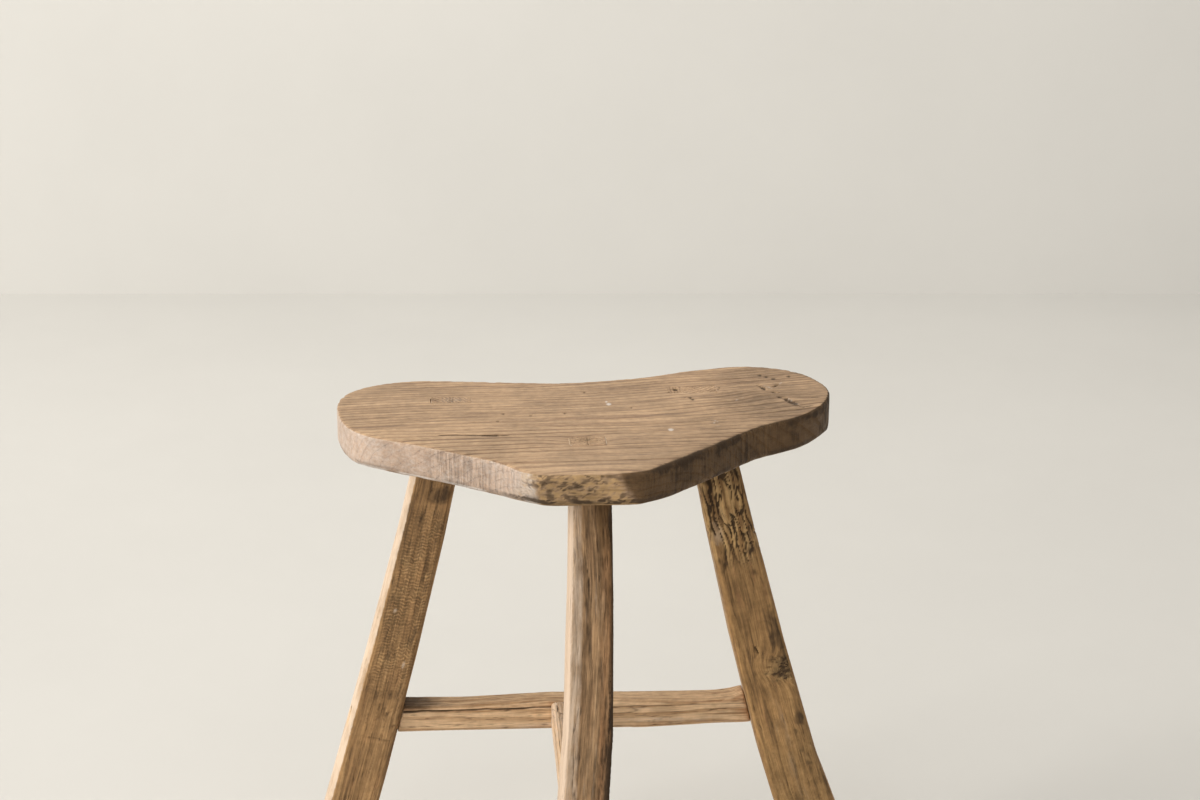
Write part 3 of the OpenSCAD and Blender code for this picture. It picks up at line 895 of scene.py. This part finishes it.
def make_right_leg():
    leg = Leg("right_leg", "right_leg_bar", 1.05, 3)
    u, v, z, q, front = leg.u, leg.v, leg.z, leg.q, leg.front
    arris, depth = leg.nicked(91, 1.1)

    # Long splits and rot tracks under the seat, thinning out downwards.
    worn_top = ramp(z, 300, 352) * (1 - leg.tenon)
    twist = q + np.stack([5 * noise(q, (14, 14, 34), 92, 2), 0 * u, 0 * u], axis=1)
    tracks = noise(twist, (5.5, 9, 44), 93, 3, 0.55)
    splits = ramp(np.abs(tracks), 0.15, 0.03)
    rot = patches(twist, (7, 10, 26), 94, 0.14, 0.42, 3, 0.6)
    pits = patches(q, (3.2, 4, 4.2), 95, 0.22, 0.6) * near(z, 350, 22, 14) * ramp(u, -8, 0)
    faces = np.clip(front + 0.8 * leg.left + 0.5 * leg.right, 0, 1)
    depth += worn_top * faces * (1.3 * splits + 1.6 * rot + 1.5 * pits)
    # A slab has broken away beside the upper left arris.
    slab = ramp(np.hypot((u + 14) / 7, (z - 353) / 14) + 0.45 * noise(q, (5, 5, 8), 104, 3), 1.05, 0.6)
    slab *= front
    depth += 1.2 * slab
    # Rings of a knot bulge at the right of the front; checks fan out below it.
    side = u - 22
    reach = np.hypot(side / 27, (z - 224) / 13)
    angle = np.arctan2(z - 226, -side)
    fan_field = noise(np.stack([angle * 12, 3 * reach, 0 * u], axis=1), (2.6, 3, 1), 97, 2)
    fan = ramp(np.abs(fan_field), 0.13, 0.02) * ramp(reach, 1.25, 0.8)
    eye = np.hypot((u - 10) / 9, (z - 262) / 14)
    eye_rings = ramp(0.5 + 0.5 * np.sin(eye * 14 + noise(q, (8, 8, 12), 105, 2)), 0.45, 0.95)
    eye_rings *= ramp(eye, 1.25, 0.7) * front
    knot = ramp(reach + 0.22 * noise(q, (7, 7, 7), 106, 2), 1.15, 0.55) * front
    depth += knot * (0.25 + 1.0 * fan) + 0.15 * eye_rings
    slot = stroke(u, z, (-4.5, 246), (-2.5, 238), 2.8) * front
    depth += 2.0 * slot
    sway = u + 1.6 * noise(q, (9, 9, 34), 98, 2)
    low_check = hairlines(np.stack([sway, v, z], axis=1), (8, 8, 95), 107, 0.06, 0.0, 3, 0.6)
    low_check *= front * ramp(z, 215, 190)
    depth += 0.45 * low_check
    leg.carve(np.clip(depth, 0, 4.5), leg.n)

    leg.paint("dark", worn_top * faces * (0.85 * splits + 0.75 * rot + 0.75 * pits))
    leg.cloud("gold", worn_top * faces * 0.80, (5, 5, 30), 111, -0.35, 0.25)
    leg.paint("gold", 0.5 * knot * ramp(fan, 0.5, 0.1))
    leg.paint("dark", knot * (0.12 + 0.50 * fan) + 0.95 * slot + 0.25 * low_check + 0.12 * eye_rings)
    shadow = near(u, 19, 4, 9) * near(z, 250, 22, 22) * front
    leg.cloud("dark", 0.55 * shadow, (11, 11, 22), 99, -0.7, 0.3, 3, 0.6)
    under_knot = near(z, 216, 3, 6) * ramp(u, -9, 0) * patches(q, (8, 8, 5), 108, -0.4, 0.3)
    leg.cloud("dark", 0.38 * under_knot * front, (5, 5, 2.5), 113, -0.4, 0.3)
    leg.paint("gold", 0.35 * under_knot * front)
    spots = patches(q, (9, 9, 13), 112, 0.1, 0.45) * near(z, 150, 25, 20) * ramp(u, 6, 14)
    leg.paint("dark", 0.5 * spots * front)
    smudge = patches(q, (13, 13, 26), 109, 0.15, 0.5, 3, 0.6) * near(z, 305, 30, 30)
    leg.paint("dark", 0.45 * smudge * front * ramp(u, -6, 6))
    leg.cloud("dark", front * 0.26, (11, 11, 50), 100, 0.0, 0.5, 3, 0.6)
    leg.paint("pale", 0.40 * slab + 0.20 * worn_top * patches(q, (6, 6, 26), 101, 0.1, 0.5))
    # Painted highlight: the left face, turned towards the light, is painted paler.
    leg.paint("pale", 0.28 * leg.left)
    sheen = near(sway, 0, 3, 7) * ramp(z, 230, 170) * front
    leg.cloud("pale", 0.30 * sheen, (7, 7, 60), 110, -0.4, 0.4)
    leg.paint("warm", 0.45 * leg.right + 0.45 * front * patches(q, (5, 5, 50), 102, 0.2, 0.6))
    leg.paint("warm", 0.45 * ramp(np.clip(arris, 0, 1), 0.3, 0.9))
    leg.paint("gold", 0.26 * front * ramp(z, 200, 130))
    leg.masks["arris"] = arris * 0.5
    grain = leg.rings((-40, 52), 4.0, 103)
    grain[:, 0] += 8 * np.exp(-reach ** 2) * front
    material = wood(
        "right_leg_elm", light=(0.49, 0.293, 0.124), field=(0.375, 0.215, 0.088),
        deep=(0.170, 0.096, 0.041), ring_gap=4.6, ring_dark=0.5, mottle=0.9,
        bleach_and_highlight=(0.56, 0.41, 0.275), honey=(0.60, 0.385, 0.17), strands=0.14,
        rough=(0.46, 0.75),
    )
    leg.close_up(grain, "right_leg_elm", material)


def make_front_leg():
    leg = Leg("front_leg", "front_leg_bar", 1.0, 4)
    u, z, q = leg.u, leg.z, leg.q
    arris, depth = leg.nicked(111, 0.8, 22.0)

    # Coarse weathered fibres stand up all along the bar.
    fibre = noise(q, (2.6, 2.6, 80), 112, 2, 0.6)
    depth += (1 - leg.tenon) * 0.5 * np.clip(fibre + 0.25, 0, 1)
    slits = hairlines(q + [[0, 0, 40]], (7, 7, 120), 113, 0.07, 0.0, 3, 0.6)
    slits *= patches(q, (10, 10, 60), 114, -0.15, 0.3, 1) * (1 - leg.tenon)
    depth += 0.8 * slits
    leg.carve(depth, leg.n)

    faces = ramp(-leg.n[:, 1], 0.2, 0.6)
    crumbs = patches(q, (3, 3, 9), 121, 0.15, 0.6, 3, 0.65)
    leg.paint("dark", (0.42 * slits + 0.22 * np.clip(fibre, 0, 1) + 0.14 * crumbs) * faces)
    leg.cloud("dark", leg.front * 0.30 * near(u, -5, 2, 4), (9, 9, 70), 115, -0.3, 0.4)
    leg.paint("dark", 0.25 * leg.front * near(z, 215, 18, 24) * ramp(u, -4, 6))
    leg.paint("stain", 0.50 * leg.front * ramp(z, 375, 445) * ramp(u, -9, -3))
    left_third = ramp(u, -5, -9) * faces
    leg.paint("pale", left_third * (0.48 + 0.26 * noise(q, (7, 7, 45), 116, 2)))
    # Painted highlight: the side that faces the light is painted paler and its arrises lighter.
    lit_side = ramp(-leg.n[:, 0], 0.45, 0.65)
    leg.paint("pale", lit_side * 0.7)
    leg.cloud("pale", 0.30 * leg.front, (3, 3, 50), 117, 0.2, 0.6)
    leg.paint("warm", ramp(u, 5, 12) * (0.60 + 0.4 * noise(q, (7, 7, 50), 118, 2)))
    leg.paint("stain", 0.38 * ramp(u, 2, 10))
    # Painted shade: the right edge is darkened.
    leg.paint("dark", 0.40 * ramp(u, 12, 17))
    leg.cloud("warm", 0.25 * leg.front, (6, 6, 60), 119, 0.1, 0.5)
    # Painted shade: the face turned away from the light is darkened.
    leg.paint("dark", 0.35 * ramp(leg.n[:, 0], 0.5, 0.8))
    leg.masks["arris"] = arris * (0.3 + 0.7 * lit_side)
    material = wood(
        "front_leg_elm", light=(0.45, 0.292, 0.165), field=(0.345, 0.210, 0.108),
        deep=(0.178, 0.102, 0.050), ring_gap=3.6, ring_dark=0.6, pores=0.7, mottle=0.6,
        streak=1.1, bleach_and_highlight=(0.64, 0.50, 0.38), strands=0.26, relief=1.4, rough=(0.5, 0.8),
    )
    leg.close_up(leg.rings((10, 60), 3.0, 120), "front_leg_elm", material)


# ---- stretchers


class Stretcher(Member):
    """A level bar with its own coordinates q: across, up and along, from its middle line."""

    def __init__(self, node, name, along):
        super().__init__(node, name, 0.85)
        self.wear_round(5)
        low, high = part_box(node)
        across = 1 - along
        mid = [(low[axis] + high[axis]) / 2 / MM for axis in range(3)]
        self.up = self.p[:, 2] - mid[2]
        self.q = np.stack([self.p[:, across] - mid[across], self.up, self.p[:, along]], axis=1)
        self.n = self.normals()
        self.arris = self.arrises(2)
        self.masks["arris"] = self.arris * 0.6

    def rubbed(self, seed, knock, coarse, fibre):
        """How deep the arrises are knocked, and how coarse fibres of this length stand up."""
        knocks = patches(self.q, knock, seed, 0.1, 0.7, 3, 0.6)
        fibres = noise(self.q, (4, 4, fibre), seed + 1, 2, 0.6)
        return np.clip(self.arris, 0, 1) * (0.1 + knocks) + coarse * np.clip(fibres + 0.3, 0, 1)


def make_back_rail():
    bar = Stretcher("back_rail", "back_rail_bar", along=0)
    x, q, n, up = bar.p[:, 0], bar.q, bar.n, bar.up
    front = ramp(-n[:, 1], 0.5, 0.9)
    top = ramp(n[:, 2], 0.4, 0.9)
    depth = bar.rubbed(131, 14, 0.45, 110)
    # A drying check runs along the upper front arris, left of the middle.
    course = up - 8.2 - 0.9 * noise(q * [0, 0, 1], (9, 9, 28), 133, 2)
    check = near(course, 0, 0.35, 0.8) * front * near(x, -92, 76, 12)
    right_check = near(course + 1.5, 0, 0.2, 0.8) * front * near(x, 75, 62, 14)
    fine = hairlines(q, (5.5, 5.5, 90), 134, 0.06, 0.0) * front
    depth += 1.7 * check + 0.8 * right_check + 0.6 * fine
    bar.carve(np.clip(depth, 0, 3), n)

    # Dirt in the checks, painted shadow at the left leg, red-brown seams, joints and right end.
    bar.paint("dark", 0.85 * check + 0.5 * right_check + 0.45 * fine)
    bar.paint("dark", 0.42 * ramp(x, -112, -150) * ramp(up, 2, 10))
    seams = near(np.abs(up), 11, 1.5, 2) * front
    bar.cloud("warm", 0.45 * seams, (9, 9, 40), 139, -0.5, 0.3)
    joint = near(x, -20, 3, 12) * front * ramp(up, -12, 0)
    right_end = ramp(x, 124, 150) * patches(q, (9, 9, 12), 135, -0.5, 0.2)
    bar.paint("warm", 0.75 * joint + 0.85 * right_end)
    bar.cloud("warm", 0.18 * front, (6, 6, 60), 136, 0.0, 0.5)
    # Painted shade: the top, beneath the seat, is darkened.
    bar.paint("dark", 0.26 * top)
    bar.cloud("pale", 0.22 * front, (6, 6, 80), 137, 0.1, 0.5)
    shift = 2.5 * noise(q, (50, 50, 160), 138, 2)
    bar.finish(rings_about(q[:, 0] - 46 + shift, q[:, 1] + 16, x), "rail_elm", [RAIL_ELM])


def make_cross_stretcher():
    bar = Stretcher("cross_stretcher", "cross_stretcher_bar", along=1)
    y, q = bar.p[:, 1], bar.q
    depth = bar.rubbed(141, 13, 0.4, 90)
    # Cracks where it enters the back rail.
    cracks = ramp(y, 46, 74) * hairlines(q, (6, 6, 22), 143, 0.08, 0.0, 3, 0.6)
    bar.carve(np.clip(depth + 0.9 * cracks, 0, 3), bar.n)
    bar.paint("dark", 0.75 * cracks)
    bar.cloud("dark", 0.18, (8, 8, 40), 144, 0.1, 0.5)
    bar.paint("pale", 0.30 + 0.25 * noise(q, (9, 9, 60), 145, 2))
    across, up = q[:, 0] + 50, q[:, 1] - 12 + 2 * noise(q, (50, 50, 120), 146)
    bar.finish(rings_about(across, up, y), "rail_elm", [RAIL_ELM])


# ---- wedges


def make_wedge(node, name, voxel, dark, material, seed):
    """A driven wedge: its fibres stand upright, its top is end grain."""
    wedge = Member(node, name, voxel)
    wedge.hold(lambda q: abs(q[2] - SEAT_TOP) < 0.1, 0.8)
    wedge.wear_round(2)
    p, n = wedge.p, wedge.normals()
    top = ramp(n[:, 2], 0.4, 0.9)
    grit = 0.5 + 0.5 * noise(p, (1.8, 1.8, 3), seed, 2)
    marks = top_marks(p)
    wedge.p[:, 2] -= top * (1 - 0.8 * wedge.firm) * np.clip(0.1 + 0.3 * grit + marks["depth"], 0, 2)
    wedge.paint("dark", dark * (0.75 + 0.5 * (grit - 0.5)))
    for name in MARKS:
        wedge.paint(name, top * marks[name])
    wedge.finish(p + [20, 30, 0], "wedge_elm", [material])


def make_wedges():
    material = wood(
        "wedge_elm", light=(0.47, 0.315, 0.19), field=(0.39, 0.257, 0.152),
        deep=(0.22, 0.135, 0.078), ring_gap=2.6, ring_dark=0.5, pores=0.6, relief=0.8,
    )
    make_wedge("front_wedge", "front_tenon_wedge", 0.5, 0.10, material, 151)
    make_wedge("left_wedge", "left_tenon_wedge", 0.5, 0.15, material, 152)
    make_wedge("right_wedge", "right_packing_wedge", 0.6, 0.0, material, 153)


# ---- studio

CAMERA_AT = (-0.1171, -1.7723, 1.0723)
CAMERA_TILT = 72.114
CAMERA_YAW = -4.0
WALL_AWAY = 3.924
PALE = (0.640, 0.630, 0.605)
SHADED = tuple(0.97 * c for c in PALE)
WARM_WHITE = (1.0, 0.965, 0.91)
ROOM_TONE = (0.93, 0.91, 0.87, 1)
ROOM_GLOW = 0.45
GROUND_REACH = 11
HALF_WALL = 7
WALL_HEIGHT = 6
# Each light's name, place, aim, size in metres and watts.
LIGHTS = (
    ("window", (-6.6, -1.6, 3.0), (0.0, 0.2, 0.4), (4.6, 3.8), 500),
    ("front_fill", (-2.2, -4.0, 2.4), (-0.2, 0.0, 0.4), (3.0, 2.5), 48),
    ("wall_wash", (-0.1, 0.4, 2.9), (0.0, 2.1, 0.6), (1.6, 1.0), 33),
)


def plaster():
    """Pale matt ground, a little uneven."""
    t = Tree("pale_plaster")
    cloud = t.noise(t.place(), 600.0, 4.0, 0.6)
    t.put(t.shader.inputs["Base Color"], t.mix(t.span(cloud, 0.3, 0.7), SHADED, PALE))
    t.shader.inputs["Roughness"].default_value = 0.9
    t.shader.inputs["Specular IOR Level"].default_value = 0.1
    return t.material


def plane(name, corners, material):
    mesh = bpy.data.meshes.new(name)
    mesh.from_pydata(corners, [], [(0, 1, 2, 3)])
    mesh.materials.append(material)
    linked(name, mesh)


def area_light(name, at, aim, size, power):
    data = bpy.data.lights.new(name, "AREA")
    data.shape = "RECTANGLE"
    data.size, data.size_y = size
    data.energy = power
    data.color = WARM_WHITE
    lamp = linked(name, data)
    lamp.location = at
    lamp.rotation_euler = (Vector(aim) - Vector(at)).to_track_quat("-Z", "Y").to_euler()


def make_studio():
    """A floor that ends at a wall standing square to the camera's heading."""
    ground = plaster()
    yaw = np.radians(CAMERA_YAW)
    ahead = Vector((-np.sin(yaw), np.cos(yaw), 0))
    aside = Vector((np.cos(yaw), np.sin(yaw), 0))
    foot = Vector((CAMERA_AT[0], CAMERA_AT[1], 0)) + WALL_AWAY * ahead
    left, right = foot - HALF_WALL * aside, foot + HALF_WALL * aside
    up, back = Vector((0, 0, WALL_HEIGHT)), -GROUND_REACH * ahead
    plane("floor", [left + back, right + back, right, left], ground)
    plane("wall", [left, right, right + up, left + up], ground)
    world = bpy.data.worlds.new("soft_room")
    world.use_nodes = True
    background = world.node_tree.nodes["Background"]
    background.inputs["Color"].default_value = ROOM_TONE
    background.inputs["Strength"].default_value = ROOM_GLOW
    bpy.context.scene.world = world
    for light in LIGHTS:
        area_light(*light)
    bpy.context.scene.view_settings.view_transform = "Standard"


def make_camera():
    data = bpy.data.cameras.new("camera")
    data.lens, data.sensor_width, data.sensor_fit = 70, 36, "HORIZONTAL"
    camera = linked("camera", data)
    camera.location = CAMERA_AT
    camera.rotation_euler = np.radians((CAMERA_TILT, 0.0, CAMERA_YAW))
    bpy.context.scene.camera = camera


# ---- build

END_GRAIN = wood(
    "worn_end_grain", light=(0.51, 0.345, 0.21), field=(0.43, 0.284, 0.17),
    deep=(0.24, 0.148, 0.086), ring_gap=3.8, ring_dark=0.6, pores=0.6, mottle=0.6,
    relief=0.8,
)
RAIL_ELM = wood(
    "rail_elm", light=(0.80, 0.56, 0.335), field=(0.69, 0.472, 0.285),
    deep=(0.36, 0.205, 0.095), ring_gap=2.7, ring_dark=0.7, strands=0.08, rough=(0.48, 0.75),
)

make_camera()
make_seat()
make_left_leg()
make_right_leg()
make_front_leg()
make_back_rail()
make_cross_stretcher()
make_wedges()
make_studio()
